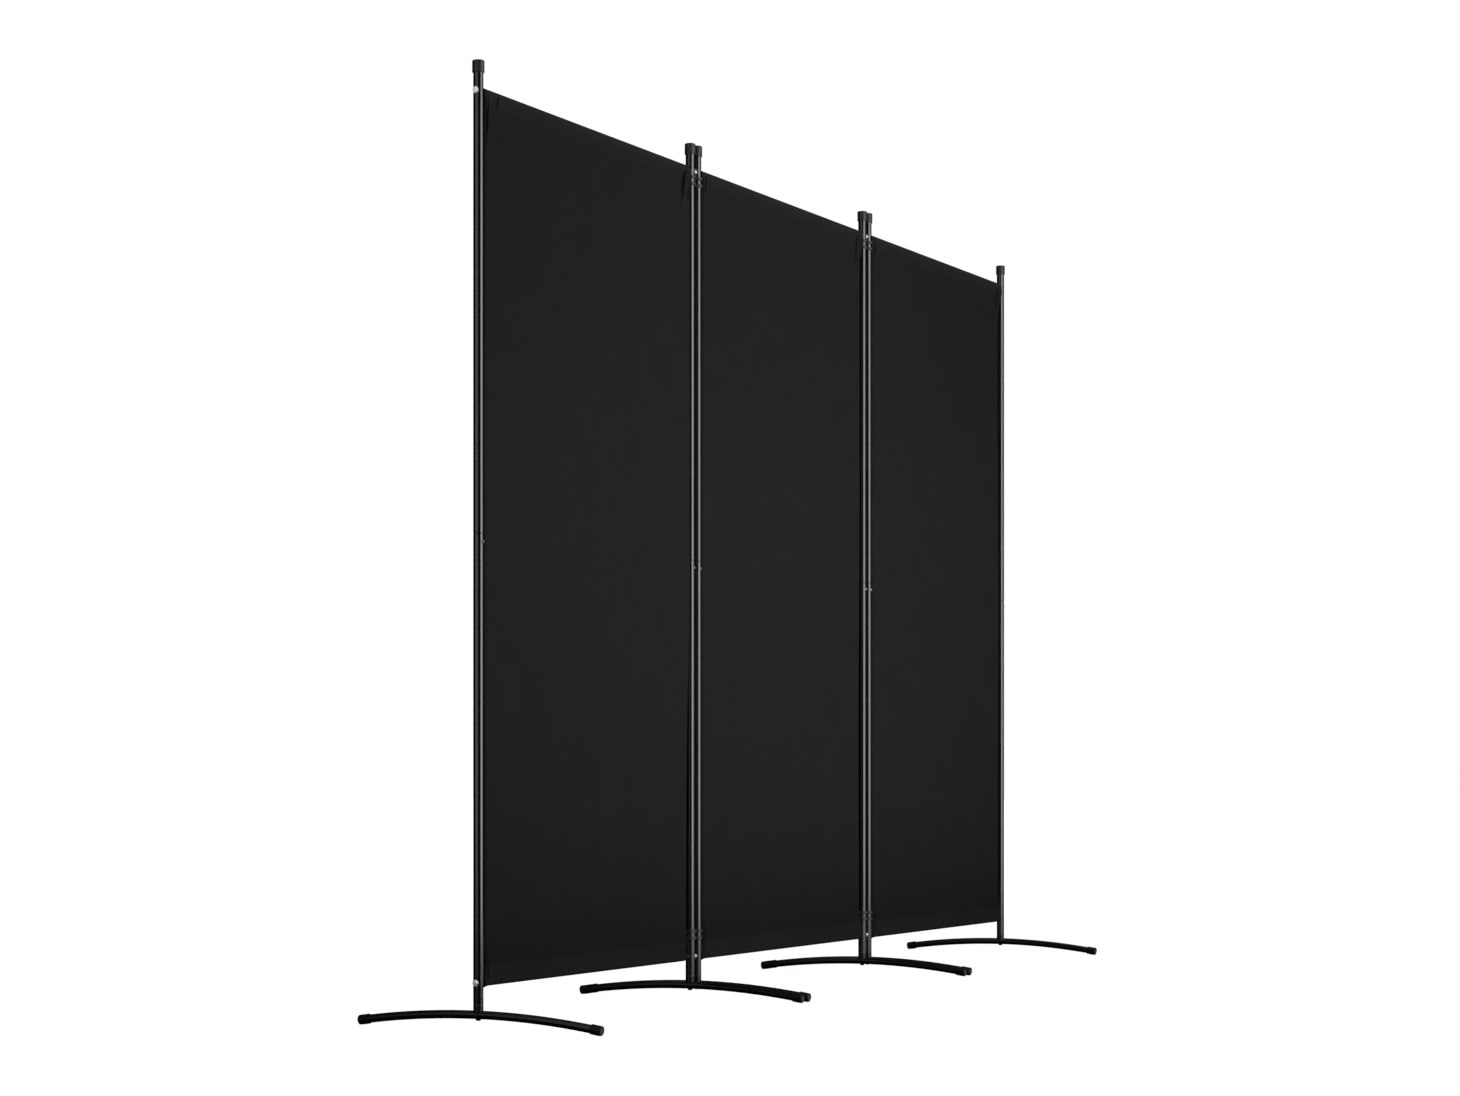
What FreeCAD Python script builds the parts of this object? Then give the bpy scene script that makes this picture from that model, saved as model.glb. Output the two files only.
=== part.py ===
"""Folding room divider screen: three cloth panels on steel frames, which clips join in a row.

+X runs along the opened screen, +Y to its back and +Z up. The origin is on the floor, midway.
Each panel has two uprights, joined by a rail near the top and one near the floor, and the cloth's
two pockets slide over those rails. The uprights are numbered 1 to 6 from left to right, and each
stands on an arched foot that swivels on the bolt in its lower end. All sizes are millimetres.
"""
import FreeCAD, Part
import math
import os

Vec = FreeCAD.Vector
UP = Vec(0, 0, 1)

# Overall layout
screen_height = 1803.0  # floor to the top of the end caps
panel_pitch = 864.0  # from one panel's middle to the next one's
junction_spacing = 30.0  # between the axes of two uprights that clips join

# Uprights: each is two tubes, and the upper one's swaged end enters the lower one
upright_od = 19.0
upright_wall = 0.9
mid_joint_height = 923.0
spigot_length = 90.0
spigot_clearance = 0.15  # radial, in the lower tube's bore
swage_length = 1.5  # taper from the full diameter down to the spigot

# Snap button that locks each mid joint: a pin on a leaf spring inside the spigot
button_drop = 15.0  # below the mid joint
button_diameter = 6.4
button_protrusion = 2.0  # proud of the lower tube
button_hole_clearance = 0.5  # radial, for the arc that the pin swings through
button_tip_bevel = 1.4
leaf_length = 45.0  # from the pin down to the leaf's root
leaf_width = 6.0
leaf_thickness = 0.7
leaf_clearance = 0.3  # from the leaf's edges to the spigot's bore

# Rails
rail_od = 13.0
rail_wall = 0.9
top_rail_drop = 56.5  # from the top of the end caps to the top rail's axis
bottom_rail_height = 88.0
rail_end_gap = 0.1  # from a rail's end to the upright

# Bolts through the uprights into threaded inserts in the rails' ends
rail_bolt_diameter = 5.0
rail_bolt_head_diameter = 9.0
rail_bolt_head_height = 2.3
rail_bolt_grip = 16.0  # length of the shank inside the insert
bolt_hole_clearance = 0.3  # radial, in a tube's wall
washer_od = 12.4
washer_thickness = 1.0
washer_clearance = 0.2  # radial, round the shank
rail_insert_length = 24.0
insert_clearance = 0.05  # radial, round an insert and in its thread
tip_chamfer = 0.6

# Caps on the uprights' tops
cap_od = 23.0
cap_height = 22.5
cap_top_thickness = 3.0
cap_clearance = 0.1  # radial, on the tube
cap_edge_round = 2.6

# Clips: two rings round each upright, joined by bridges and an upright web
clip_ring_od = 24.0
clip_ring_height = 6.8
clip_ring_pitch = 14.6  # between the middles of the lower and upper rings
clip_clearance = 0.1  # radial, of the running fit on the upright
clip_bridge_thickness = 9.0
clip_web_thickness = 4.0
clip_web_width = 8.0
clip_edge_bevel = 0.9
top_clip_drop = 21.5  # below the top rail's axis
bottom_clip_rise = 46.0  # above the bottom rail's axis

# Feet
foot_length = 530.0  # between the middles of the end faces
foot_arch_radius = 1780.0  # of the tube's centre line
foot_tube_od = 16.0
foot_tube_wall = 1.2
foot_cap_od = 19.2
foot_cap_length = 22.0
foot_cap_end_thickness = 3.0
foot_cap_clearance = 0.3  # radial, and it takes up the tube's curve
foot_cap_bevel = 1.2
foot_pad_depth = 1.0  # how much of the cap is flattened where it stands on the floor
riser_height = 10.5  # welded riser, above the top of the foot's tube
riser_saddle = 5.0  # how far the riser reaches down round the tube
swivel_washer_thickness = 1.2  # between the riser and the upright
swivel_gap = 0.05  # on each side of that washer

# Bolt that holds each foot, up into a threaded insert in the upright
foot_bolt_diameter = 6.0
foot_bolt_head_diameter = 10.0
foot_bolt_head_height = 3.0
foot_bolt_grip = 18.0
foot_bolt_clearance = 0.1  # radial, of the running fit in the insert
foot_insert_length = 22.0

# Cloth: one sheet per panel, on the front of the rails, with a sewn pocket round each rail
cloth_thickness = 0.8
cloth_edge_gap = 3.4  # from the cloth's side edge to the upright
pocket_clearance = 0.3  # between the rail and the pocket
pocket_depth = 33.0  # from the rail's axis to the seam

# Worked out from the sizes above
upright_radius = upright_od / 2
upright_bore = upright_radius - upright_wall
upright_top = screen_height - cap_top_thickness
upright_span = panel_pitch - junction_spacing
spigot_radius = upright_bore - spigot_clearance
spigot_bore = spigot_radius - upright_wall
button_height = mid_joint_height - button_drop
rail_radius = rail_od / 2
top_rail_height = screen_height - top_rail_drop
foot_end_angle = (
    math.asin(foot_length / 2 / math.hypot(foot_arch_radius, foot_cap_end_thickness))
    - math.atan2(foot_cap_end_thickness, foot_arch_radius)
)
foot_end_y = foot_arch_radius * math.sin(foot_end_angle)
foot_end_z = (
    foot_cap_end_thickness * math.sin(foot_end_angle)
    + foot_cap_od / 2 * math.cos(foot_end_angle)
    - foot_pad_depth
)
foot_crown = foot_end_z + foot_arch_radius * (1 - math.cos(foot_end_angle))
riser_top = foot_crown + foot_tube_od / 2 + riser_height
upright_foot = riser_top + swivel_washer_thickness + 2 * swivel_gap

panels = (("left", -panel_pitch), ("middle", 0.0), ("right", panel_pitch))


def turned(points):
    """Solid of revolution about Z from (radius, height) points."""
    corners = [Vec(radius, 0, height) for radius, height in points]
    face = Part.Face(Part.makePolygon(corners + corners[:1]))
    return face.revolve(Vec(0, 0, 0), UP, 360)


def sleeve(outer_radius, inner_radius, low, high):
    """Plain hollow cylinder about Z."""
    return turned([(inner_radius, low), (outer_radius, low), (outer_radius, high), (inner_radius, high)])


def rim(shape, height, radius):
    """The circular edges about Z with this height and radius."""
    return [
        edge
        for edge in shape.Edges
        if isinstance(edge.Curve, Part.Circle)
        and math.isclose(edge.Curve.Radius, radius, abs_tol=1e-6)
        and math.isclose(edge.Curve.Center.z, height, abs_tol=1e-6)
    ]


def placed(shape, origin, direction=UP):
    """Copy of a shape made about Z, with its origin moved and its +Z turned to a direction."""
    copy = shape.copy()
    copy.Placement = FreeCAD.Placement(origin, FreeCAD.Rotation(UP, direction))
    return copy


def drill(radius, point, direction, length):
    """Cylinder to cut a hole with, from a point along a direction."""
    return Part.makeCylinder(radius, length, point, direction)


def write(node, solids):
    """Write a node's solid, or its group of separate solids, to its own STEP file."""
    shape = solids[0] if len(solids) == 1 else Part.makeCompound(solids)
    shape.exportStep(f"parts/{node}.step")


def bolt_holes(x, height):
    """Cutter for the hole that a rail's bolt passes, through both walls of an upright."""
    radius = rail_bolt_diameter / 2 + bolt_hole_clearance
    return drill(radius, Vec(x - upright_od, 0, height), Vec(1, 0, 0), 2 * upright_od)


def button_hole(x):
    """Cutter for the snap button's hole in the front walls."""
    radius = button_diameter / 2 + button_hole_clearance
    return drill(radius, Vec(x, 0, button_height), Vec(0, -1, 0), upright_od)


def upper_tube(x):
    """Upper tube of an upright, swaged down at its lower end to the spigot."""
    shoulder = mid_joint_height + swage_length
    spigot_end = mid_joint_height - spigot_length
    tube = turned([
        (upright_bore, upright_top),
        (upright_radius, upright_top),
        (upright_radius, shoulder),
        (spigot_radius, mid_joint_height),
        (spigot_radius, spigot_end),
        (spigot_bore, spigot_end),
        (spigot_bore, mid_joint_height),
        (upright_bore, shoulder),
    ])
    return placed(tube, Vec(x, 0, 0)).cut([bolt_holes(x, top_rail_height), button_hole(x)])


def lower_tube(x):
    """Lower tube of an upright, from the foot's riser to the mid joint."""
    tube = sleeve(upright_radius, upright_bore, upright_foot, mid_joint_height)
    return placed(tube, Vec(x, 0, 0)).cut([bolt_holes(x, bottom_rail_height), button_hole(x)])


def snap_button(x):
    """Round-nosed pin through both walls, on the leaf spring that pushes it out."""
    radius = button_diameter / 2
    leaf_front = math.sqrt(spigot_bore**2 - (leaf_width / 2) ** 2) - leaf_clearance
    tip = upright_radius + button_protrusion
    pin = Part.makeCylinder(radius, tip - leaf_front)
    pin = pin.makeChamfer(button_tip_bevel, rim(pin, tip - leaf_front, radius))
    leaf_top = button_height + leaf_width / 2
    leaf_root = button_height - leaf_length
    leaf = Part.makeBox(
        leaf_width,
        leaf_thickness,
        leaf_top - leaf_root,
        Vec(x - leaf_width / 2, -leaf_front, leaf_root),
    )
    return leaf.fuse(placed(pin, Vec(x, -leaf_front, button_height), Vec(0, -1, 0)))


def end_cap(outer_diameter, length, bore_radius, end_thickness):
    """Moulded cup about Z, open at 0 and closed at its far end."""
    radius = outer_diameter / 2
    depth = length - end_thickness
    return turned([
        (bore_radius, 0),
        (radius, 0),
        (radius, length),
        (0, length),
        (0, depth),
        (bore_radius, depth),
    ])


def top_cap(x):
    """Cap over the top end of an upright."""
    bore = upright_radius + cap_clearance
    cap = end_cap(cap_od, cap_height, bore, cap_top_thickness)
    cap = cap.makeFillet(cap_edge_round, rim(cap, cap_height, cap_od / 2))
    return placed(cap, Vec(x, 0, screen_height - cap_height))


def rail(centre, height):
    """Cross tube between a panel's two uprights."""
    length = upright_span - upright_od - 2 * rail_end_gap
    tube = sleeve(rail_radius, rail_radius - rail_wall, -length / 2, length / 2)
    return placed(tube, Vec(centre, 0, height), Vec(1, 0, 0))


def bolt(diameter, length, head_diameter, head_height):
    """Pan-head bolt about Z: the head sits on 0 and the shank goes down from there."""
    radius = diameter / 2
    head_radius = head_diameter / 2
    return turned([
        (0, -length),
        (radius - tip_chamfer, -length),
        (radius, tip_chamfer - length),
        (radius, 0),
        (head_radius, 0),
        (head_radius, head_height / 2),
        (head_radius - head_height / 2, head_height),
        (0, head_height),
    ])


def rail_fasteners(x, height, side):
    """Bolt and washer on an upright's face away from the cloth, side being -1 or +1."""
    outward = Vec(side, 0, 0)
    length = washer_thickness + upright_od + rail_end_gap + rail_bolt_grip
    rail_bolt = bolt(rail_bolt_diameter, length, rail_bolt_head_diameter, rail_bolt_head_height)
    hole = rail_bolt_diameter / 2 + washer_clearance
    washer = sleeve(washer_od / 2, hole, 0, washer_thickness)
    face = x + side * upright_radius
    return [
        placed(rail_bolt, Vec(face + side * washer_thickness, 0, height), outward),
        placed(washer, Vec(face, 0, height), outward),
    ]


def rail_insert(x, height, side):
    """Threaded insert pressed into the end of a rail."""
    outer = rail_radius - rail_wall - insert_clearance
    bore = rail_bolt_diameter / 2 + insert_clearance
    insert = sleeve(outer, bore, 0, rail_insert_length)
    face = x - side * (upright_radius + rail_end_gap)
    return placed(insert, Vec(face, 0, height), Vec(-side, 0, 0))


def foot_insert(x):
    """Threaded insert pressed into the lower end of an upright, for the foot's bolt."""
    outer = upright_bore - insert_clearance
    bore = foot_bolt_diameter / 2 + foot_bolt_clearance
    return placed(sleeve(outer, bore, 0, foot_insert_length), Vec(x, 0, upright_foot))


def swivel_washer(x):
    """Plain washer on the foot's bolt, for the upright to turn on."""
    washer = sleeve(
        upright_radius,
        foot_bolt_diameter / 2 + washer_clearance,
        0,
        swivel_washer_thickness,
    )
    return placed(washer, Vec(x, 0, riser_top + swivel_gap))


def pocket_section(radius, depth):
    """Face across a pocket: round over the rail, and tapering to the seam on the front side.

    The front is tangent to the circle and drops straight to the seam. The back is the other
    tangent from the seam, so it touches the circle at twice the half angle that the seam makes.
    """
    half_angle = math.atan2(radius, depth)
    front = Vec(0, -radius, 0)
    over = Vec(0, 0, radius)
    back = Vec(0, radius * math.cos(2 * half_angle), -radius * math.sin(2 * half_angle))
    seam = Vec(0, -radius, -depth)
    outline = [
        Part.LineSegment(seam, front).toShape(),
        Part.Arc(front, over, back).toShape(),
        Part.LineSegment(back, seam).toShape(),
    ]
    return Part.Face(Part.Wire(outline))


def cloth(centre):
    """Closed solid of one panel's cloth: the sheet and its two pockets."""
    inner = rail_radius + pocket_clearance
    outer = inner + cloth_thickness
    width = upright_span - upright_od - 2 * cloth_edge_gap
    shell = pocket_section(outer, pocket_depth).cut(
        pocket_section(inner, pocket_depth * inner / outer)
    )
    upper = shell.extrude(Vec(width, 0, 0))
    lower = upper.mirror(Vec(0, 0, 0), UP)
    upper.translate(Vec(0, 0, top_rail_height))
    lower.translate(Vec(0, 0, bottom_rail_height))
    sheet = Part.makeBox(
        width,
        cloth_thickness,
        top_rail_height - bottom_rail_height,
        Vec(0, -outer, bottom_rail_height),
    )
    whole = sheet.fuse([upper, lower]).removeSplitter()
    whole.translate(Vec(centre - width / 2, 0, 0))
    return whole


def clip(junction, height):
    """Moulded clip that hinges on two uprights: rings, bridges between them, and the web."""
    ring_radius = clip_ring_od / 2
    half_height = clip_ring_height / 2
    level = clip_ring_pitch / 2
    stations = [
        Vec(side * junction_spacing / 2, 0, end * level) for side in (-1, 1) for end in (-1, 1)
    ]
    ring = Part.makeCylinder(ring_radius, clip_ring_height, Vec(0, 0, -half_height))
    edges = rim(ring, half_height, ring_radius) + rim(ring, -half_height, ring_radius)
    ring = ring.makeChamfer(clip_edge_bevel, edges)
    bridge = Part.makeBox(
        junction_spacing,
        clip_bridge_thickness,
        clip_ring_height,
        Vec(-junction_spacing / 2, -clip_bridge_thickness / 2, -half_height),
    )
    web = Part.makeBox(
        clip_web_width,
        clip_web_thickness,
        clip_ring_pitch,
        Vec(-clip_web_width / 2, -clip_web_thickness / 2, -level),
    )
    body = web.fuse(
        [placed(ring, station) for station in stations]
        + [placed(bridge, Vec(0, 0, end * level)) for end in (-1, 1)]
    )
    bore = upright_radius + clip_clearance
    reach = clip_ring_pitch + clip_ring_height
    bores = [
        drill(bore, Vec(side * junction_spacing / 2, 0, -reach), UP, 2 * reach) for side in (-1, 1)
    ]
    return placed(body.cut(bores).removeSplitter(), Vec(junction, 0, height))


def arched(radius):
    """Round bar that follows the foot's arch from end to end."""
    centre = Vec(0, 0, foot_crown - foot_arch_radius)
    to_back = Vec(-1, 0, 0)
    half_turn = math.degrees(foot_end_angle)
    disc = Part.Face(Part.Wire(Part.makeCircle(radius)))
    section = placed(disc, Vec(0, 0, foot_crown), Vec(0, 1, 0))
    section.rotate(centre, to_back, -half_turn)
    return section.revolve(centre, to_back, 2 * half_turn)


def foot_frame(x):
    """Arched tube with the riser welded on its crown, drilled for the bolt."""
    bar = arched(foot_tube_od / 2)
    bore = arched(foot_tube_od / 2 - foot_tube_wall)
    height = riser_height + riser_saddle
    riser = Part.makeCylinder(upright_radius, height, Vec(0, 0, riser_top - height))
    hole_radius = foot_bolt_diameter / 2 + bolt_hole_clearance
    hole = drill(hole_radius, Vec(0, 0, 0), UP, riser_top + foot_tube_od)
    return placed(bar.fuse(riser).cut([bore, hole]).removeSplitter(), Vec(x, 0, 0))


def foot_caps(x):
    """The two end caps of a foot, each flattened where it stands on the floor."""
    bore = foot_tube_od / 2 + foot_cap_clearance
    cap = end_cap(foot_cap_od, foot_cap_length, bore, foot_cap_end_thickness)
    cap = cap.makeChamfer(foot_cap_bevel, rim(cap, foot_cap_length, foot_cap_od / 2))
    inset = foot_cap_length - foot_cap_end_thickness
    floor = Part.makeBox(foot_length, 2 * foot_length, foot_length)
    floor.translate(Vec(x - foot_length / 2, -foot_length, -foot_length))
    caps = []
    for side in (-1, 1):
        outward = Vec(0, side * math.cos(foot_end_angle), -math.sin(foot_end_angle))
        tube_end = Vec(x, side * foot_end_y, foot_end_z)
        caps.append(placed(cap, tube_end - outward * inset, outward).cut(floor))
    return caps


def foot_bolt(x):
    """Bolt up through the foot and its riser into the upright."""
    underside = foot_crown - foot_tube_od / 2
    length = upright_foot + foot_bolt_grip - underside
    shank = bolt(foot_bolt_diameter, length, foot_bolt_head_diameter, foot_bolt_head_height)
    return placed(shank, Vec(x, 0, underside), Vec(0, 0, -1))


os.makedirs("parts", exist_ok=True)

number = 0
for panel, centre in panels:
    caps = []
    fasteners = []
    nylon_parts = []
    for side in (-1, 1):
        number += 1
        x = centre + side * upright_span / 2
        write(f"upright_{number}_upper", [upper_tube(x)])
        write(f"upright_{number}_lower", [lower_tube(x)])
        write(f"snap_button_{number}", [snap_button(x)])
        write(f"foot_{number}_frame", [foot_frame(x)])
        write(f"foot_{number}_caps", foot_caps(x))
        write(f"foot_{number}_bolt", [foot_bolt(x)])
        caps.append(top_cap(x))
        nylon_parts += [foot_insert(x), swivel_washer(x)]
        for height in (top_rail_height, bottom_rail_height):
            fasteners += rail_fasteners(x, height, side)
            nylon_parts.append(rail_insert(x, height, side))
    write(f"{panel}_rail_top", [rail(centre, top_rail_height)])
    write(f"{panel}_rail_bottom", [rail(centre, bottom_rail_height)])
    write(f"{panel}_cloth", [cloth(centre)])
    write(f"{panel}_top_caps", caps)
    write(f"{panel}_rail_bolts", fasteners)
    write(f"{panel}_nylon_parts", nylon_parts)

for side, junction in (("left", -panel_pitch / 2), ("right", panel_pitch / 2)):
    write(f"{side}_clip_top", [clip(junction, top_rail_height - top_clip_drop)])
    write(f"{side}_clip_bottom", [clip(junction, bottom_rail_height + bottom_clip_rise)])
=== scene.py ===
"""Looks of the folding room divider screen: three cloth panels on black steel frames."""
import math

import bpy
import bmesh
import numpy as np
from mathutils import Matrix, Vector


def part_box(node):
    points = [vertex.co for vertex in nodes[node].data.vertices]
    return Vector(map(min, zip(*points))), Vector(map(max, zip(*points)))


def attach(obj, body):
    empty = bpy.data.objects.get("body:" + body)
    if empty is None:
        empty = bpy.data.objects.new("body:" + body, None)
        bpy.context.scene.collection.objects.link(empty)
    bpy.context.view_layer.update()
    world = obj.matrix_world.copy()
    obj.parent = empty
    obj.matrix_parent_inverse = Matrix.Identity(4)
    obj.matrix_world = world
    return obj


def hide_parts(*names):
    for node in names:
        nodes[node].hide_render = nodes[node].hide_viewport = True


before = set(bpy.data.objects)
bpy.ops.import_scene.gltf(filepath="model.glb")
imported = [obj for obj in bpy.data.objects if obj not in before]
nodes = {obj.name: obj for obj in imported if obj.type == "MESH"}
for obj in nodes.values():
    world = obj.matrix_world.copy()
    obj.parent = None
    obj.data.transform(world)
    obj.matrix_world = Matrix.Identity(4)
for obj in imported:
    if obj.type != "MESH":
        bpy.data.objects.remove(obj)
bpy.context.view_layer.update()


# ---- Studio -------------------------------------------------------------------------------
# Pale floor and a white surround, a soft box in front of the screen, and fills past its left
# end and behind. Black flags, which only reflections see, keep the tubes dark beside their
# highlights.

class Value:
    """A number or colour that a shader works out; each operator adds its Math node."""

    def __init__(self, shader, socket):
        self.shader, self.socket = shader, socket

    def math(self, operation, *others):
        return self.shader.node("ShaderNodeMath", {"operation": operation}, [self, *others])

    def __add__(self, other):
        return self.math("ADD", other)

    def __mul__(self, other):
        return self.math("MULTIPLY", other)

    def __sub__(self, other):
        return self.math("SUBTRACT", other)

    def __truediv__(self, other):
        return self.math("DIVIDE", other)

    def __rsub__(self, other):
        return self.shader.node("ShaderNodeMath", {"operation": "SUBTRACT"}, [other, self])

    def __abs__(self):
        return self.math("ABSOLUTE")

    __radd__, __rmul__ = __add__, __mul__


class Shader:
    """The nodes of a material or of the world."""

    def __init__(self, owner):
        owner.use_nodes = True
        self.tree = owner.node_tree
        self.tree.nodes.clear()

    def node(self, kind, settings=None, inputs=(), output=0):
        """Adds a node, with its settings first and then its sockets' values or links."""
        made = self.tree.nodes.new(kind)
        for name, value in (settings or {}).items():
            if name == "stops":
                ramp = made.color_ramp.elements
                while len(ramp) < len(value):
                    ramp.new(0.5)
                for element, (place, grey) in zip(ramp, value):
                    element.position, element.color = place, (grey, grey, grey, 1)
            else:
                setattr(made, name, value)
        for key, value in inputs.items() if isinstance(inputs, dict) else enumerate(inputs):
            if isinstance(value, Value):
                self.tree.links.new(value.socket, made.inputs[key])
            else:
                made.inputs[key].default_value = value
        return Value(self, made.outputs[output]) if made.outputs else None


def seen_directly(shader):
    """1 for rays from the camera, through glass or off a shiny face, and 0 for soft light."""
    camera_ray, through_glass, off_shine = [
        shader.node("ShaderNodeLightPath", output=name)
        for name in ("Is Camera Ray", "Is Transmission Ray", "Is Glossy Ray")]
    return camera_ray.math("MAXIMUM", through_glass).math("MAXIMUM", off_shine)


def black_sheet(name, start, end, height, apron):
    """Cloth that hangs from a height between two plan points, and runs on over the floor
    towards the object for the length of its apron."""
    start, end = np.array((*start, 0.001)), np.array((*end, 0.001))
    inward = np.cross((0, 0, 1), end - start)
    inward *= apron / np.linalg.norm(inward)
    up = np.array((0, 0, height))
    mesh = bpy.data.meshes.new(name)
    mesh.from_pydata([start + inward, end + inward, end, start, start + up, end + up], [],
                     [(0, 1, 2, 3), (3, 2, 5, 4)])
    sheet = bpy.data.objects.new(name, mesh)
    bpy.context.scene.collection.objects.link(sheet)
    return sheet


white = (1, 1, 1, 1)
ambient_light = 0.2
world = bpy.context.scene.world or bpy.data.worlds.new("studio")
bpy.context.scene.world = world
sky = Shader(world)
direct = seen_directly(sky)
sky.node("ShaderNodeOutputWorld", inputs=[sky.node("ShaderNodeBackground", inputs=[
    white, direct + (1 - direct) * ambient_light])])

floor_reach = 30
floor_mesh = bpy.data.meshes.new("studio_floor")
floor_mesh.from_pydata(
    [(across * floor_reach, back * floor_reach, 0)
     for across, back in ((-1, -1), (1, -1), (1, 1), (-1, 1))], [], [(0, 1, 2, 3)])
floor = bpy.data.objects.new("studio_floor", floor_mesh)
bpy.context.scene.collection.objects.link(floor)
floor_paint = bpy.data.materials.new("studio_floor")
paint = Shader(floor_paint)
# The floor shows a faint shadow round the object, and plain white further out.
from_middle = paint.node("ShaderNodeVectorMath", {"operation": "LENGTH"}, [
    paint.node("ShaderNodeTexCoord", output="Object")], "Value")
shadowless = paint.node("ShaderNodeMapRange", {"interpolation_type": "SMOOTHSTEP"}, {
    "Value": from_middle, "From Min": 1.8, "From Max": 4.5, "To Min": 0.75, "To Max": 1.0})
paint.node("ShaderNodeOutputMaterial", inputs=[paint.node("ShaderNodeMixShader", inputs=[
    seen_directly(paint) * shadowless,
    paint.node("ShaderNodeBsdfDiffuse", inputs=[(0.45, 0.45, 0.45, 1)]),
    paint.node("ShaderNodeEmission", inputs=[white, 1.28])])])
floor_mesh.materials.append(floor_paint)

flag_paint = bpy.data.materials.new("black_flag")
velvet = Shader(flag_paint)
velvet.node("ShaderNodeOutputMaterial", inputs=[
    velvet.node("ShaderNodeBsdfDiffuse", inputs=[(0.004, 0.004, 0.004, 1)])])
flags = [black_sheet("flag_behind", (6.5, 2.5), (-4.5, 2.5), 5.0, 2.85),
         black_sheet("flag_by_camera", (-4.72, -1.6), (-1.5, -3.05), 4.0, 2.6),
         black_sheet("flag_far", (2.9, -3.1), (6.5, 2.5), 4.0, 2.2)]
for flag in flags:
    flag.data.materials.append(flag_paint)
    flag.visible_camera = flag.visible_diffuse = flag.visible_shadow = False
    flag.visible_transmission = False


def lamp(name, place, aim, width, height, radiance, mirrored=True):
    """Rectangular soft lamp whose face has this radiance, wherever it stands. Reflections show
    it unless it isn't mirrored."""
    light = bpy.data.lights.new(name, "AREA")
    light.shape, light.size, light.size_y = "RECTANGLE", width, height
    light.energy = radiance * math.pi * width * height
    stand = bpy.data.objects.new(name, light)
    stand.location = place
    stand.rotation_euler = (Vector(aim) - Vector(place)).to_track_quat("-Z", "Y").to_euler()
    stand.visible_camera, stand.visible_glossy = False, mirrored
    bpy.context.scene.collection.objects.link(stand)


lamp("soft_box", (0.0, -3.1, 1.3), (0.0, 0.0, 1.3), 3.0, 2.6, 5.5)
lamp("end_fill", (-5.2, 1.0, 1.4), (-1.2, 0.0, 0.9), 1.8, 2.4, 1.0)
lamp("back_fill", (0.0, 4.0, 1.4), (0.0, 0.0, 1.0), 3.0, 2.4, 4.5, mirrored=False)

camera_data = bpy.data.cameras.new("camera")
camera_data.lens, camera_data.sensor_width = 72.9, 36.0
camera_data.shift_y = 0.1471
camera = bpy.data.objects.new("camera", camera_data)
camera.location = (-5.946, -2.944, 0.497)
camera.rotation_euler = (math.radians(90), 0, math.radians(27.39 - 90))
bpy.context.scene.collection.objects.link(camera)
bpy.context.scene.camera = camera
bpy.context.scene.view_settings.view_transform = "Standard"


# ---- Steel frames -------------------------------------------------------------------------
# Uprights, rails and feet are drawn steel tube with a semi-gloss black powder coat, which
# keeps a faint orange peel and a little dust. Their shapes are the CAD ones.

def principled(shader, base, roughness, normal=None, metallic=0.0, **fixed):
    """Ends a material in one Principled shader."""
    inputs = {"Base Color": base, "Roughness": roughness, "Metallic": metallic, **fixed}
    if normal is not None:
        inputs["Normal"] = normal
    shader.node("ShaderNodeOutputMaterial", inputs=[
        shader.node("ShaderNodeBsdfPrincipled", inputs=inputs)])


def noise(shader, where, scale, detail=2.0, roughness=0.5):
    """Cloudy values from 0 to 1, with scale features to a metre."""
    return shader.node("ShaderNodeTexNoise", inputs={
        "Vector": where, "Scale": scale, "Detail": detail, "Roughness": roughness})


def blend(shader, share, first, second):
    """Colour that goes from first to second as share goes from 0 to 1."""
    return shader.node(
        "ShaderNodeMix", {"data_type": "RGBA"}, {0: share, 6: first, 7: second}, output=2)


def bump(shader, height, depth, normal=None):
    """Normal of a surface raised by height, from 0 to 1, times depth in metres."""
    inputs = {"Strength": 1.0, "Distance": depth, "Height": height}
    if normal is not None:
        inputs["Normal"] = normal
    return shader.node("ShaderNodeBump", inputs=inputs)


def finish(name):
    """New material, and its shader."""
    material = bpy.data.materials.new(name)
    return material, Shader(material)


def paint_nodes(material, names):
    """Gives whole CAD nodes one material."""
    for name in names:
        mesh = nodes[name].data
        mesh.materials.clear()
        mesh.materials.append(material)


powder_coat, coat = finish("black_powder_coat")
place = coat.node("ShaderNodeTexCoord", output="Object")
peel = noise(coat, place, 520.0)
dust = noise(coat, place, 2600.0, 1.0)
cloud = noise(coat, place, 9.0, 4.0)
principled(
    coat,
    blend(coat, cloud, (0.002, 0.002, 0.0022, 1), (0.0036, 0.0036, 0.004, 1)),
    0.13 + 0.09 * cloud + 0.03 * dust,
    bump(coat, dust, 0.000006, bump(coat, peel, 0.00003)),
    **{"IOR": 1.5},
)

panels = ("left", "middle", "right")
uprights = range(1, 7)
paint_nodes(powder_coat, [
    f"upright_{number}_{part}" for number in uprights for part in ("lower", "upper")])
paint_nodes(powder_coat, [
    f"{panel}_rail_{end}" for panel in panels for end in ("top", "bottom")])

# The feet have the same coat, but it is baked to a flatter gloss.
foot_coat, coat = finish("foot_powder_coat")
place = coat.node("ShaderNodeTexCoord", output="Object")
peel = noise(coat, place, 520.0)
cloud = noise(coat, place, 14.0, 4.0)
principled(
    coat,
    blend(coat, cloud, (0.002, 0.002, 0.0022, 1), (0.0044, 0.0044, 0.0048, 1)),
    0.24 + 0.12 * cloud,
    bump(coat, peel, 0.00004),
    **{"IOR": 1.5, "Specular IOR Level": 0.25},
)
paint_nodes(foot_coat, [
    f"foot_{number}_{part}" for number in uprights for part in ("frame", "bolt")])


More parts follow.
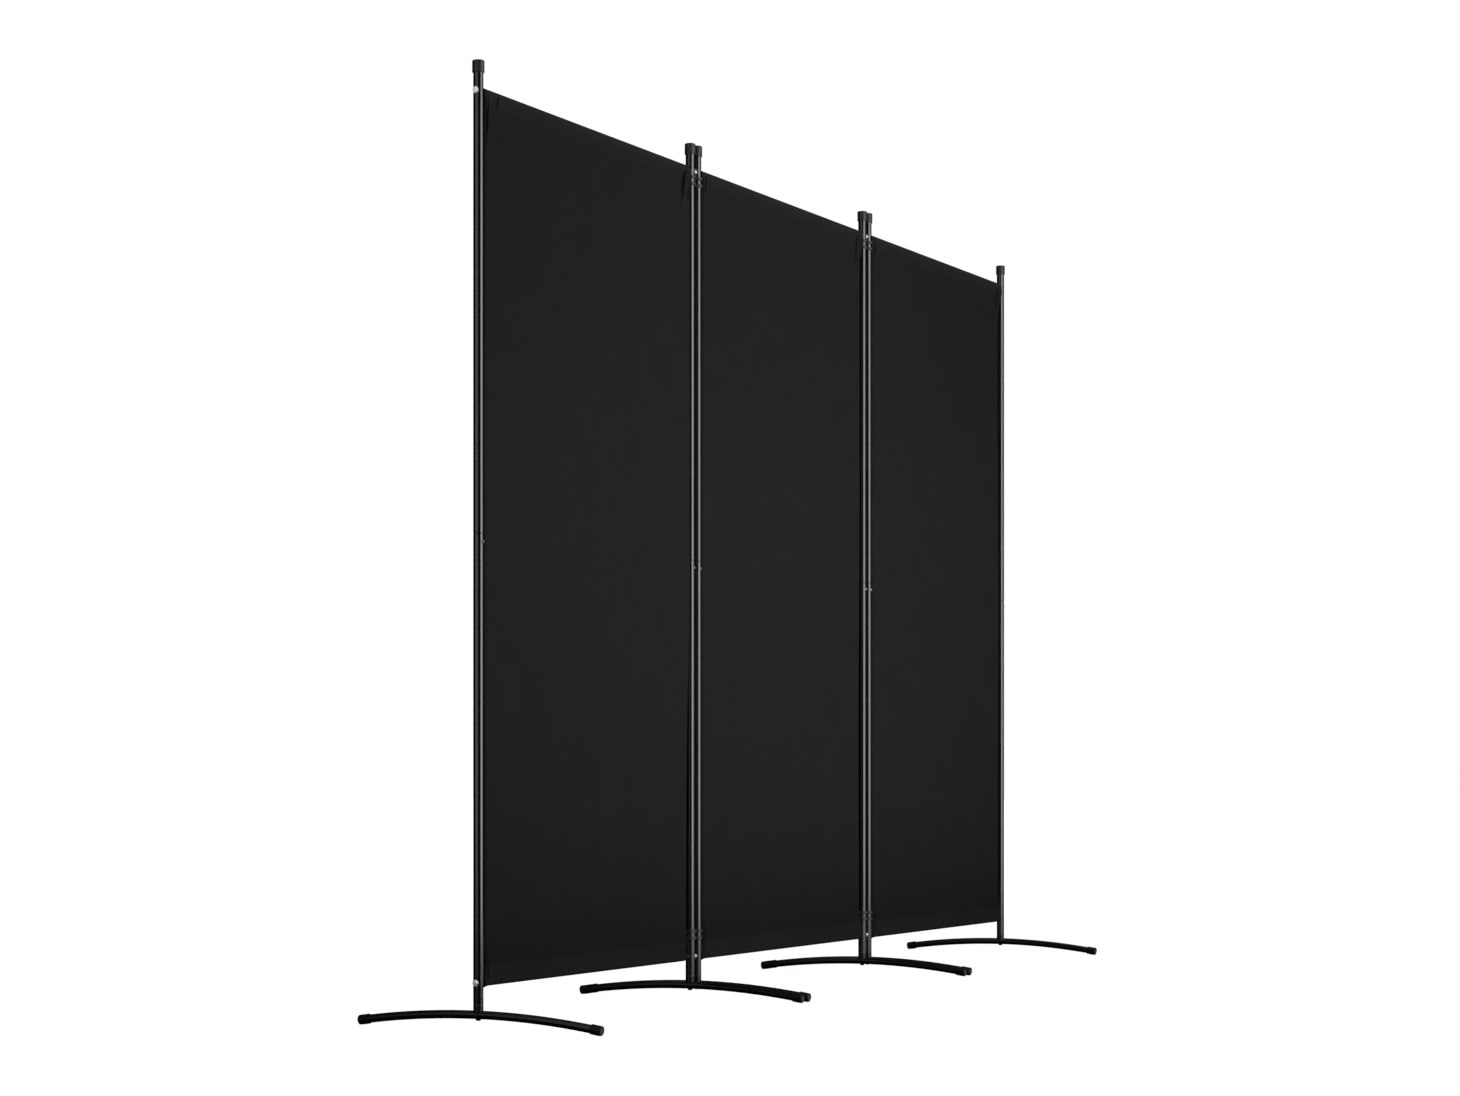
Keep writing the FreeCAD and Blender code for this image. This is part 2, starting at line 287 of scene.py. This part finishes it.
# ---- Mouldings ----------------------------------------------------------------------------
# Top caps, foot caps and the clips that join two uprights are injection moulded in black
# polypropylene, with a fine spark texture from the mould. The foot caps are softer and darker,
# with a lighter grey disc in the middle of each end face. The inserts and washers are nylon.

def moulded(name, dark, light, gloss, foot=None):
    """Matte moulded plastic with a spark texture, and flow marks between two greys."""
    material, resin = finish(name)
    place = resin.node("ShaderNodeTexCoord", output="Object")
    texture = noise(resin, place, 1900.0, 3.0, 0.6)
    flow = noise(resin, place, 60.0, 2.0)
    colour = blend(resin, flow, (dark, dark, dark * 1.05, 1), (light, light, light * 1.05, 1))
    if foot:
        # A foot's caps are a lighter grey on a disc in the middle of each end face.
        colour = blend(resin, end_disc(resin, place, foot), colour, (0.038, 0.038, 0.039, 1))
    principled(
        resin,
        colour,
        0.42 + 0.12 * texture,
        bump(resin, texture, 0.00003),
        **{"IOR": 1.49, "Specular IOR Level": gloss},
    )
    return material


foot_slope = math.asin(0.265 / 1.78)  # half a foot's length over its arch's radius
end_disc_radius = 0.0066


def along_and_up(y, z):
    """Distances along the slope of a foot's end and square to it: |y| and z turned by it."""
    return (abs(y) * math.cos(foot_slope) - z * math.sin(foot_slope),
            abs(y) * math.sin(foot_slope) + z * math.cos(foot_slope))


def end_disc(shader, place, foot):
    """1 on a disc in the middle of each end face of a foot's caps, and 0 elsewhere: far enough
    along the slope to be on the face, and near enough to the caps' axis."""
    corners = np.array([corner.co for corner in nodes[f"{foot}_caps"].data.vertices])
    along, up = along_and_up(corners[:, 1], corners[:, 2])
    end_plane = along.max() - 0.0002
    rim = up[along > end_plane]
    x, y, z = (shader.node("ShaderNodeSeparateXYZ", inputs=[place], output=axis) for axis in "XYZ")
    along, up = along_and_up(y, z)
    across = x - (corners[:, 0].min() + corners[:, 0].max()) / 2
    up = up - (rim.min() + rim.max()) / 2
    near_axis = (across * across + up * up).math("LESS_THAN", end_disc_radius ** 2)
    return near_axis * along.math("GREATER_THAN", end_plane)


moulding = moulded("black_moulding", 0.005, 0.009, 0.35)

nylon, resin = finish("insert_nylon")
place = resin.node("ShaderNodeTexCoord", output="Object")
flow = noise(resin, place, 140.0, 3.0)
principled(
    resin,
    blend(resin, flow, (0.012, 0.012, 0.012, 1), (0.028, 0.028, 0.028, 1)),
    0.4 + 0.2 * flow,
    bump(resin, flow, 0.00002),
)

paint_nodes(moulding, [f"{panel}_top_caps" for panel in panels]
            + [f"{side}_clip_{end}" for side in ("left", "right") for end in ("top", "bottom")])
for number in uprights:
    foot = f"foot_{number}"
    paint_nodes(moulded(f"{foot}_moulding", 0.0025, 0.005, 0.12, foot), [f"{foot}_caps"])
paint_nodes(nylon, [f"{panel}_nylon_parts" for panel in panels])


# ---- Zinc fasteners -----------------------------------------------------------------------
# Pan-head screws with a cross recess, and their washers, are bright zinc-plated steel. The
# heads are cold formed, so faint rings run round their axis. The snap buttons' zinc is dull.

def zinc_finish(name, light, dark, coordinates, stain_scale):
    """Bright plating with cloudy stains, and turned rings across its own Y coordinate."""
    material, plating = finish(name)
    place = plating.node("ShaderNodeTexCoord", output=coordinates)
    stain = noise(plating, place, stain_scale, 3.0)
    rings = plating.node("ShaderNodeTexWave", {
        "wave_type": "BANDS", "bands_direction": "Y"}, {
        "Vector": place, "Scale": 9.0, "Distortion": 0.6, "Detail": 1.0}, output=1)
    principled(
        plating,
        blend(plating, stain, light, dark),
        0.3 + 0.15 * stain,
        bump(plating, rings, 0.000006),
        metallic=1.0,
    )
    return material


zinc = zinc_finish("zinc_plated_steel", (0.86, 0.87, 0.89, 1), (0.66, 0.67, 0.7, 1), "UV", 7.0)
zinc_button = zinc_finish(
    "zinc_button", (0.3, 0.3, 0.31, 1), (0.16, 0.16, 0.17, 1), "Object", 900.0)
paint_nodes(zinc_button, [f"snap_button_{number}" for number in uprights])


def piece(name, points, material, body, uv=None, wrap=False, sharp=40.0):
    """Object from a grid of points [row, column]: each face joins a point to the next ones in
    its row and its column. wrap joins the last column to the first."""
    rows, columns = points.shape[:2]
    row, column = np.meshgrid(
        np.arange(rows - 1), np.arange(columns if wrap else columns - 1), indexing="ij")
    after = (column + 1) % columns
    corners = np.stack([
        row * columns + column, row * columns + after,
        (row + 1) * columns + after, (row + 1) * columns + column], axis=-1).reshape(-1, 4)
    mesh = bpy.data.meshes.new(name)
    mesh.from_pydata(points.reshape(-1, 3).tolist(), [], corners.tolist())
    if uv is not None:
        layer = mesh.uv_layers.new(name="flat")
        if wrap:
            loops = np.stack([
                uv[row, column], uv[row, column + 1], uv[row + 1, column + 1], uv[row + 1, column],
            ], axis=-2)
        else:
            loops = uv.reshape(-1, 2)[corners]
        layer.data.foreach_set("uv", loops.reshape(-1).astype(np.float32))
    return finished(name, mesh, material, body, sharp)


def finished(name, mesh, material, body, sharp):
    """Closes a mesh's poles, shades it, and makes it an object that rides on a body."""
    work = bmesh.new()
    work.from_mesh(mesh)
    bmesh.ops.remove_doubles(work, verts=work.verts, dist=1e-7)
    bmesh.ops.dissolve_degenerate(work, edges=work.edges, dist=1e-8)
    work.to_mesh(mesh)
    work.free()
    mesh.polygons.foreach_set("use_smooth", [True] * len(mesh.polygons))
    mesh.set_sharp_from_angle(angle=math.radians(sharp))
    mesh.materials.append(material)
    made = bpy.data.objects.new(name, mesh)
    bpy.context.scene.collection.objects.link(made)
    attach(made, body)
    return made


def arc(centre, radius, start, end, steps):
    """Points round a centre: the radius times the cosine and sine of evenly spaced angles,
    from one to another in degrees."""
    angles = np.radians(np.linspace(start, end, steps))
    return np.stack([
        centre[0] + radius * np.cos(angles), centre[1] + radius * np.sin(angles)], axis=-1)


head_radius, head_height, shank_radius, shank_length = 0.0045, 0.0023, 0.0025, 0.0361
washer_radius, washer_bore, washer_thickness = 0.0062, 0.0027, 0.001
turns = 72
edge_radius, edge_height = 0.0011, 0.0012
crown_radius, crown_steps = 0.0036, 22
dome = arc((head_radius - edge_radius, edge_height), edge_radius, 0, 62, 6)
crown = np.linspace(crown_radius, 0, crown_steps)
bolt_profile = np.concatenate([
    [(0, -shank_length), (shank_radius - 0.0006, -shank_length),
     (shank_radius, 0.0006 - shank_length), (shank_radius, 0), (head_radius - 0.0002, 0),
     (head_radius, 0.0002)],
    dome,
    np.stack([crown, np.interp(
        crown, [0, crown_radius], [head_height, dome[-1, 1] + 0.0001])], axis=-1),
])
washer_profile = np.array([
    (washer_bore, 0), (washer_radius - 0.0001, 0), (washer_radius, 0.0001),
    (washer_radius, washer_thickness - 0.0002), (washer_radius - 0.0002, washer_thickness),
    (washer_bore + 0.0001, washer_thickness), (washer_bore, washer_thickness - 0.0001),
    (washer_bore, 0)])


def cross_recess(across, along):
    """Depth of the recess: four arms that narrow outwards and slope down to the middle. Each
    arm's depth is its wall's rise, from 0 to 1, times the fall of its floor."""
    reach, half_width, taper = 0.0023, 0.00052, 0.08
    wall_width, floor_run, deepest = 0.00016, 0.0012, 0.0013
    depth = 0
    for arm, side in ((across, along), (along, across)):
        width = half_width - taper * np.abs(arm)
        wall = np.clip((width - np.abs(side)) / wall_width, 0, 1)
        depth = np.maximum(depth, wall * np.clip((reach - np.abs(arm)) / floor_run, 0, 1))
    return deepest * depth


def turned(profile, centre, outward, twist=0.0, recess=False):
    """Profile of (radius, height) carried round an axis along X: the radius times the cosine
    and sine of each angle gives y and z, and the height outwards, -1 or +1, gives x."""
    angles = np.linspace(0, 2 * np.pi, turns, endpoint=False) + twist
    radius, height = profile[:, :1], np.repeat(profile[:, 1:], turns, axis=1)
    across, along = radius * np.cos(angles), radius * np.sin(angles)
    if recess:  # cut in the crown and the last two points of the dome
        on_top = (np.arange(len(profile)) >= len(profile) - crown_steps - 2)[:, None]
        height = height - on_top * cross_recess(
            radius * np.cos(angles - twist), radius * np.sin(angles - twist))
    return np.stack([
        centre[0] + outward * height,
        centre[1] + across,
        centre[2] + outward * along], axis=-1)


def turned_uv(profile):
    """Share of a turn across, and distance along the profile up, for the plating's rings."""
    ring_run = 0.003
    run = np.concatenate([[0], np.cumsum(np.linalg.norm(np.diff(profile, axis=0), axis=1))])
    across, up = np.meshgrid(np.linspace(0, 1, turns + 1), run / ring_run)
    return np.stack([across, up], axis=-1)


number = 0
chance = np.random.default_rng(7)
for panel in panels:
    for outward in (-1, 1):
        number += 1
        low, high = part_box(f"upright_{number}_lower")
        face = high.x if outward > 0 else low.x
        middle = (low.y + high.y) / 2
        for end in ("top", "bottom"):
            rail_low, rail_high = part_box(f"{panel}_rail_{end}")
            height = (rail_low.z + rail_high.z) / 2
            for part, profile, lift, twist, recess in (
                    ("washer", washer_profile, 0, 0, False),
                    ("screw", bolt_profile, washer_thickness, chance.uniform(0, 1.5), True)):
                centre = (face + outward * lift, middle, height)
                fastener = piece(
                    f"upright_{number}_{end}_{part}",
                    turned(profile, centre, outward, twist, recess),
                    zinc, f"{panel}_panel", turned_uv(profile), True, 30)
                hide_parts(f"{panel}_rail_bolts")


# ---- Cloth --------------------------------------------------------------------------------
# Each panel is one sheet of black woven polyester, with painted shade that leaves it palest over
# the top rail and at mid height.
# Its sides are turned in and hemmed. Its ends are wrapped over the rails and stitched down as
# pockets, which gather at the corners and draw the right edges in near the floor.

cloth_thickness = 0.0005
layer = 0.00105  # from one layer's outer face to the next one's
hem_depth = 0.010
pocket_depth = 0.033
flap_depth = 0.008
hem_seam = 0.0085  # from a side edge to the hem's stitching
left_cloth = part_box("left_cloth")
rail_low, rail_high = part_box("left_rail_top")
top_axis = (rail_low.z + rail_high.z) / 2
rail_low, rail_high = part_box("left_rail_bottom")
bottom_axis = (rail_low.z + rail_high.z) / 2
cloth_width = left_cloth[1].x - left_cloth[0].x + 0.0048  # its sides nearly touch the uprights
wrap_radius = -left_cloth[0].y
seam_y = -wrap_radius + 0.0014

# The pocket in section, from the flap's free edge up behind the rail, over it and down to the
# front: a line, the tangent from the seam to the circle, and the arc of the wrap.
seam = np.array([seam_y, -pocket_depth])
seam_reach = np.linalg.norm(seam)
tangent_angle = math.degrees(
    math.atan2(seam[1], seam[0]) + math.acos(wrap_radius / seam_reach))
wrap_arc = arc((0, 0), wrap_radius, tangent_angle, 180, 60)
half = np.concatenate([
    np.stack([np.full(9, seam_y), np.linspace(-pocket_depth - flap_depth, -pocket_depth, 9)], -1),
    np.linspace(seam, wrap_arc[0], 40)[1:],
    wrap_arc[1:],
])
rail_gap = top_axis - bottom_axis
section = np.concatenate([
    half + (0, top_axis),
    np.stack([np.full(800, -wrap_radius), np.linspace(top_axis, bottom_axis, 802)[1:-1]], -1),
    half[::-1] * (1, -1) + (0, bottom_axis),
])
section_run = np.concatenate([[0], np.cumsum(np.linalg.norm(np.diff(section, axis=0), axis=1))])
section_slope = np.gradient(section, section_run, axis=0)
section_normal = np.stack([section_slope[:, 1], -section_slope[:, 0]], -1)
section_normal /= np.linalg.norm(section_normal, axis=1, keepdims=True)
cloth_length = section_run[-1]
front_run = section_run[len(half) - 1]

weave, cloth = finish("screen_cloth")
flat = cloth.node("ShaderNodeTexCoord", output="UV")
across = cloth.node("ShaderNodeSeparateXYZ", inputs=[flat], output="X")
along = cloth.node("ShaderNodeSeparateXYZ", inputs=[flat], output="Y")
yarn_pitch = 0.00055


def yarn(position, crossing, phase):
    """Height of one set of yarns: round across, as a sine is, and rising over every other
    crossing yarn, as a sine along it that starts half a wave later in each next yarn."""
    round_top = abs((position * (math.pi / yarn_pitch)).math("SINE"))
    turn = (position / yarn_pitch).math("FLOOR") * math.pi + phase
    over = (crossing * (math.pi / yarn_pitch) + turn).math("SINE")
    return round_top * (0.6 + 0.4 * over)


warp, weft = yarn(across, along, 0.0), yarn(along, across, math.pi)
weave_height = warp.math("MAXIMUM", weft)
warp_slub, weft_slub = [
    noise(cloth, cloth.node("ShaderNodeMapping", inputs={"Vector": flat, "Scale": scale}), 1.0)
    for scale in ((1400, 26, 1), (26, 1400, 1))]
mottle = noise(cloth, flat, 11.0, 5.0, 0.62)
# Mottle and slubs vary the yarn's own tone; the weave's height adds painted shade, darker in the
# hollows between yarns than on their crests.
tone_and_weave_shade = 0.45 * mottle + 0.2 * warp_slub + 0.2 * weft_slub + 0.15 * weave_height
down = (along - front_run) / rail_gap
# Painted shade by the place down the cloth, from the top rail, 0, to the bottom one, 1; the
# lower pocket begins at 0.98. It is palest over the top rail and at mid height, darker towards
# the floor, and darkest in a line just above the lower pocket's seam.
painted_shade = cloth.node("ShaderNodeValToRGB", {"stops": [
    (0.0, 0.15), (0.006, 0.122), (0.02, 0.103), (0.15, 0.106), (0.4, 0.121), (0.62, 0.121),
    (0.8, 0.116), (0.91, 0.1), (0.9795, 0.072), (0.981, 0.092), (1.0, 0.098)]}, [down])
principled(
    cloth,
    cloth.node("ShaderNodeVectorMath", {"operation": "SCALE"}, {
        0: blend(cloth, tone_and_weave_shade, (0.062, 0.062, 0.0645, 1), (0.122, 0.122, 0.126, 1)),
        "Scale": painted_shade}),
    0.86 - 0.08 * weave_height,
    bump(cloth, weave_height + 0.3 * warp_slub + 0.3 * weft_slub, 0.00012),
    **{"IOR": 1.4, "Specular IOR Level": 0.04},
)
sewing, yarn_shader = finish("sewing_thread")
place = yarn_shader.node("ShaderNodeTexCoord", output="Object")
twist_marks = noise(yarn_shader, place, 4200.0, 1.0)
principled(
    yarn_shader,
    blend(yarn_shader, twist_marks, (0.004, 0.004, 0.0042, 1), (0.011, 0.011, 0.0115, 1)),
    0.8 + 0.1 * twist_marks,
    bump(yarn_shader, twist_marks, 0.00003),
    **{"IOR": 1.4, "Specular IOR Level": 0.04},
)


def smooth_step(low, high, value):
    """0 up to low, 1 from high on, and a smooth cubic between; low may be the greater."""
    share = np.clip((value - low) / (high - low), 0, 1)
    return share * share * (3 - 2 * share)


def gathers(x, drop, folds):
    """Sum of folds. Each is a step up past a line, which turns aside just below the rail and
    leans as it runs on down. It eases back exponentially over its gentle width, comes in over
    the rail and dies out at the end of its run."""
    turn_run = 0.012
    raised = 0
    for start, lean, turn, rise, steep, gentle, run in folds:
        below = np.maximum(drop, 0)
        past = x - (start + lean * below + turn * (1 - np.exp(-below / turn_run)))
        fade = smooth_step(-0.004, 0.013, drop) * (1 - smooth_step(0.35, 1.0, drop / run))
        raised = raised + rise * fade * smooth_step(-steep, 0, past) * np.exp(
            -np.maximum(past, 0) / gentle)
    return raised


# Folds at the corners, each with its place across at the rail from the corner's own side edge,
# its lean and turn, its rise, its steep and gentle widths, and its run.
end_corner_folds = (
    (0.0125, -0.06, 0.0, 0.0050, 0.0012, 0.016, 0.125),
    (0.0035, -0.01, 0.0, 0.0016, 0.0009, 0.003, 0.080),
    (0.0080, -0.04, 0.0, 0.0013, 0.0009, 0.003, 0.050),
    (0.0520, -0.20, 0.0, 0.0030, 0.0012, 0.006, 0.036),
    (0.0440, -0.35, 0.0, 0.0016, 0.0012, 0.006, 0.050))
near_corner_folds = (
    (0.0050, 0.0, 0.003, 0.0024, 0.0012, 0.004, 0.060),
    (0.0160, -0.18, 0.007, 0.0036, 0.0018, 0.008, 0.062),
    (0.0340, -0.20, 0.004, 0.0012, 0.0010, 0.008, 0.055))
far_corner_folds = (
    (-0.0106, -0.05, -0.025, 0.0058, 0.0070, 0.014, 0.110),
    (0.0030, -0.22, 0.0, 0.0024, 0.0012, 0.005, 0.130),
    (-0.0130, -0.20, -0.003, 0.0014, 0.0010, 0.004, 0.060))
foot_near_folds = (
    (0.0045, 0.02, 0.0, 0.0016, 0.0010, 0.004, 0.090),
    (0.0140, -0.05, 0.0, 0.0022, 0.0012, 0.014, 0.110))
foot_far_folds = (
    (-0.0080, -0.10, 0.0, 0.0015, 0.0010, 0.005, 0.080),
    (-0.0280, -0.30, 0.0, 0.0015, 0.0015, 0.010, 0.080))


class Sheet:
    """One panel's cloth as a surface over its flat cut: u across the width, v down the length."""

    def __init__(self, panel, seed):
        low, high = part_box(f"{panel}_cloth")
        self.middle = (low.x + high.x) / 2
        chance = np.random.default_rng(seed)
        corners = (end_corner_folds if panel == "left" else near_corner_folds,
                   far_corner_folds, foot_near_folds, foot_far_folds)
        # How the side edges roll back, left and then right: the side's sign, the depth at the
        # top and at the foot, the width, and the reach from a rail.
        self.rolls = ((1, 0.004 if panel == "left" else 0.006, 0.006, 0.006, 0.0),
                      (-1, 0.003 if panel == "left" else 0.010, 0.011, 0.040, 0.05))
        # How far the right edge is drawn in, from which height above the bottom rail down to
        # which.
        self.drawn_in = {
            "left": [(0.007, 0.085, 0.045), (0.013, 0.038, 0.014)],
            "middle": [(0.0048, 1.1, 0.4), (0.003, 0.038, 0.014)],
            "right": [(0.003, 0.038, 0.014)],
        }[panel]
        self.folds = [
            [tuple(np.array(fold) * chance.uniform(0.88, 1.12, len(fold))) for fold in corner]
            for corner in corners]
        self.ripples = [
            (2 * np.pi / chance.uniform(*wave), chance.uniform(0, 2 * np.pi),
             chance.uniform(-0.2, 0.2), chance.uniform(0.5, 1))
            for wave in [(0.030, 0.055)] * 4 + [(0.06, 0.13)] * 4]
        self.billows = [
            (chance.uniform(2, 9), chance.uniform(1, 5), chance.uniform(0, 6.3),
             chance.uniform(0, 6.3)) for _ in range(7)]
        self.curls = [
            (chance.uniform(6, 26), chance.uniform(0, 6.3), chance.uniform(0, 6.3))
            for _ in range(5)]

    def folded(self, x, v):
        """How high the folds at the four corners stand: the sum of each corner's gathers."""
        left, right = cloth_width / 2 + x, cloth_width / 2 - x
        drop = v - front_run
        return sum(gathers(edge, from_rail, folds) for edge, from_rail, folds in zip(
            (left, -right, left, -right), (drop, drop, rail_gap - drop, rail_gap - drop),
            self.folds))

    def raised(self, x, v, folds):
        """How far the cloth stands out from its smooth shape, from its place across and down:
        the folds, ripples near the rails, wide billows, curling sides and puckered seams."""
        flare, flare_width = 0.003, 0.012  # of the left edge, beside the bottom rail
        top_ripple, foot_ripple, billow_height = 0.00035, 0.0009, 0.0011
        curl_height, curl_width = 0.0004, 0.013
        seam_dip, seam_width = 0.0003, 0.0013
        pucker_height, pucker_width, pucker_length, pucker_beat = 0.00018, 0.006, 0.0087, 0.031
        hem_dip, hem_width = 0.00012, 0.0008
        below_seam = pocket_depth + 0.001
        left, right = cloth_width / 2 + x, cloth_width / 2 - x
        drop = v - front_run
        climb = rail_gap - drop
        out = folds + flare * np.exp(-(left / flare_width) ** 2) * smooth_step(
            flare_width, -flare_width, climb)
        ripple = sum(
            size * np.sin(rate * (x + lean * climb) + phase)
            for rate, phase, lean, size in self.ripples) / 3
        near_top = smooth_step(below_seam, 0.05, drop) * (1 - smooth_step(0.06, 0.24, drop))
        near_foot = smooth_step(below_seam, 0.055, climb) * (1 - smooth_step(0.09, 0.42, climb))
        free = smooth_step(below_seam, 0.14, drop) * smooth_step(below_seam, 0.14, climb)
        out = out + ripple * (top_ripple * near_top + foot_ripple * near_foot)
        billow = sum(
            np.sin(a * x + c) * np.sin(b * drop + d) for a, b, c, d in self.billows) / 3
        out = out + billow_height * billow * free
        curl = sum(
            np.sin(rate * drop + phase) * np.exp(-left / curl_width)
            + np.sin(rate * drop + other) * np.exp(-right / curl_width)
            for rate, phase, other in self.curls) / 3
        out = out + curl_height * curl * free
        pucker = np.sin(2 * np.pi * x / pucker_length) * np.sin(2 * np.pi * x / pucker_beat + 1.3)
        for from_rail in (drop, climb):
            seam_line = from_rail - pocket_depth
            out = out - seam_dip * np.exp(-(seam_line / seam_width) ** 2)
            out = out + pucker_height * pucker * np.exp(-(seam_line / pucker_width) ** 2)
        hem_line = np.minimum(left, right) - hem_seam
        return out - hem_dip * np.exp(-(hem_line / hem_width) ** 2) * (drop > 0) * (climb > 0)

    def at(self, u, v):
        """Points of the outer face: the section's place at v, moved out along its normal, and u
        across. Past each side the sheet turns in round a small half circle, and runs back
        behind itself as the hem. Folds lean left by a share of their height."""
        lean_share, drawn_width = 0.6, 0.055
        half_width = cloth_width / 2 - layer / 2
        turn = np.clip((np.abs(u) - half_width) / (layer / 2), 0, np.pi)
        back = np.maximum(np.abs(u) - half_width - np.pi * layer / 2, 0)
        x = np.sign(u) * (
            np.minimum(np.abs(u), half_width) + layer / 2 * np.sin(turn) - back)
        inward = layer / 2 * (1 - np.cos(turn))
        y, z = (np.interp(v, section_run, section[:, k]) for k in (0, 1))
        ny, nz = (np.interp(v, section_run, section_normal[:, k]) for k in (0, 1))
        from_end = np.minimum(v, cloth_length - v)
        doubled = smooth_step(0.024, 0.012, cloth_width / 2 - np.abs(x))
        on_flap = 1 - smooth_step(flap_depth, flap_depth + 0.03, from_end)
        in_front = smooth_step(0.01, front_run - 0.004, from_end)
        folds = self.folded(x, v)
        shift = self.raised(x, v, folds) * in_front - inward
        below_rail = np.minimum(top_axis - z, z - bottom_axis)
        drawn = np.exp(-(cloth_width / 2 - x) / drawn_width) * sum(
            amount * smooth_step(high, low, z - bottom_axis)
            for amount, high, low in self.drawn_in)
        leaning = lean_share * folds * in_front
        rolled = sum(
            (top_depth + (foot_depth - top_depth) * smooth_step(1.2, 0.3, z))
            * np.maximum(1 - (cloth_width / 2 + side * x) / width, 0) ** 2
            * smooth_step(0.005, 0.02 + reach, below_rail)
            for side, top_depth, foot_depth, width, reach in self.rolls)
        return np.stack([
            self.middle + x - drawn - leaning,
            y + ny * shift + 2 * layer * doubled * on_flap + rolled,
            z + nz * shift], -1)


def spaced(*runs):
    """Stations from runs of (start, end, step), each starting where the one before ends."""
    return np.unique(np.round(np.concatenate([
        np.linspace(start, end, max(2, int(np.ceil((end - start) / step)) + 1))
        for start, end, step in runs]), 7))


edge_turn = cloth_width / 2 - layer / 2
side = np.concatenate([
    spaced((0, edge_turn - 0.063, 0.0095), (edge_turn - 0.063, edge_turn - 0.023, 0.0017),
           (edge_turn - 0.023, edge_turn, 0.0008)),
    edge_turn + np.array([0.25, 0.5, 0.75, 1]) * np.pi * layer / 2,
    edge_turn + np.pi * layer / 2 + np.array([0.0035, hem_depth]),
])
columns = np.concatenate([-side[:0:-1], side])
upper_half = spaced(
    (0, flap_depth, 0.004), (flap_depth, front_run - 0.024, 0.006),
    (front_run - 0.024, front_run, 0.0019), (front_run, front_run + 0.031, 0.0031),
    (front_run + 0.031, front_run + 0.035, 0.0008), (front_run + 0.035, front_run + 0.12, 0.0045),
    (front_run + 0.12, front_run + 0.26, 0.008), (front_run + 0.26, cloth_length / 2, 0.0165))
rows = np.concatenate([upper_half, cloth_length - upper_half[-2::-1]])

stitch_length, stitch_pitch, thread_radius = 0.0027, 0.0034, 0.00022
end_gap = 0.003  # from a seam's first stitch to the cloth's edge


def stitches(name, sheet, u, v, along_u, body):
    """Short thread loops at places (u, v) of a sheet, sewn along u or along v. Each is a
    spindle of five rings of five points, which rises out of the cloth and sinks back into it:
    its radius and its height over the cloth go with the share of its length."""
    step = 0.00001
    here = sheet.at(u, v)
    aside, down = sheet.at(u + step, v) - here, sheet.at(u, v + step) - here
    aside, down = [way / np.linalg.norm(way, axis=-1, keepdims=True) for way in (aside, down)]
    outward = np.cross(down, aside)
    run, span = (aside, down) if along_u else (-down, aside)
    share = np.array([-0.5, -0.36, 0.0, 0.36, 0.5])
    thick = np.array([0.0, 0.8, 1.0, 0.8, 0.0])
    lift = np.array([-0.9, 0.1, 0.45, 0.1, -0.9])
    angles = np.arange(5) * 2 * np.pi / 5
    thick, lift = thick[:, None, None], lift[:, None, None]
    ring = here[:, None, None] + stitch_length * share[:, None, None] * run[:, None, None]
    ring = ring + thread_radius * (lift + thick * np.cos(angles)[:, None]) * outward[:, None, None]
    ring = ring + thread_radius * (thick * np.sin(angles)[:, None]) * span[:, None, None]
    corner = np.arange(25).reshape(5, 5)
    around = np.roll(corner, -1, axis=1)
    loops = np.stack([corner[:-1], around[:-1], around[1:], corner[1:]], -1).reshape(-1, 4)
    faces = (loops + 25 * np.arange(len(u))[:, None, None]).reshape(-1, 4)
    mesh = bpy.data.meshes.new(name)
    mesh.from_pydata(ring.reshape(-1, 3).tolist(), [], faces.tolist())
    return finished(name, mesh, sewing, body, 80)


for seed, panel in enumerate(panels):
    sheet = Sheet(panel, seed + 11)
    u, v = np.meshgrid(columns, rows)
    fabric = piece(f"{panel}_screen_cloth", sheet.at(u, v)[:, ::-1], weave,
                   f"{panel}_panel", np.stack([u, v], -1)[:, ::-1], sharp=180)
    wall = fabric.modifiers.new("cloth_thickness", "SOLIDIFY")
    wall.thickness, wall.offset, wall.use_even_offset = cloth_thickness, -1, False
    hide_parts(f"{panel}_cloth")
    across_seam = np.arange(
        -cloth_width / 2 + end_gap, cloth_width / 2 - end_gap + 0.001, stitch_pitch)
    seam_runs = (flap_depth, front_run + pocket_depth,
                 cloth_length - front_run - pocket_depth, cloth_length - flap_depth)
    pocket = stitches(
        f"{panel}_pocket_stitching", sheet, np.tile(across_seam, 4),
        np.repeat(seam_runs, len(across_seam)), True, f"{panel}_panel")
    down_hem = np.arange(front_run + end_gap, cloth_length - front_run - end_gap, stitch_pitch)
    hem_u = cloth_width / 2 - hem_seam
    hem_back = edge_turn + np.pi * layer / 2 + (hem_seam - layer / 2)
    hem = stitches(
        f"{panel}_hem_stitching", sheet,
        np.repeat((-hem_back, -hem_u, hem_u, hem_back), len(down_hem)), np.tile(down_hem, 4),
        False, f"{panel}_panel")
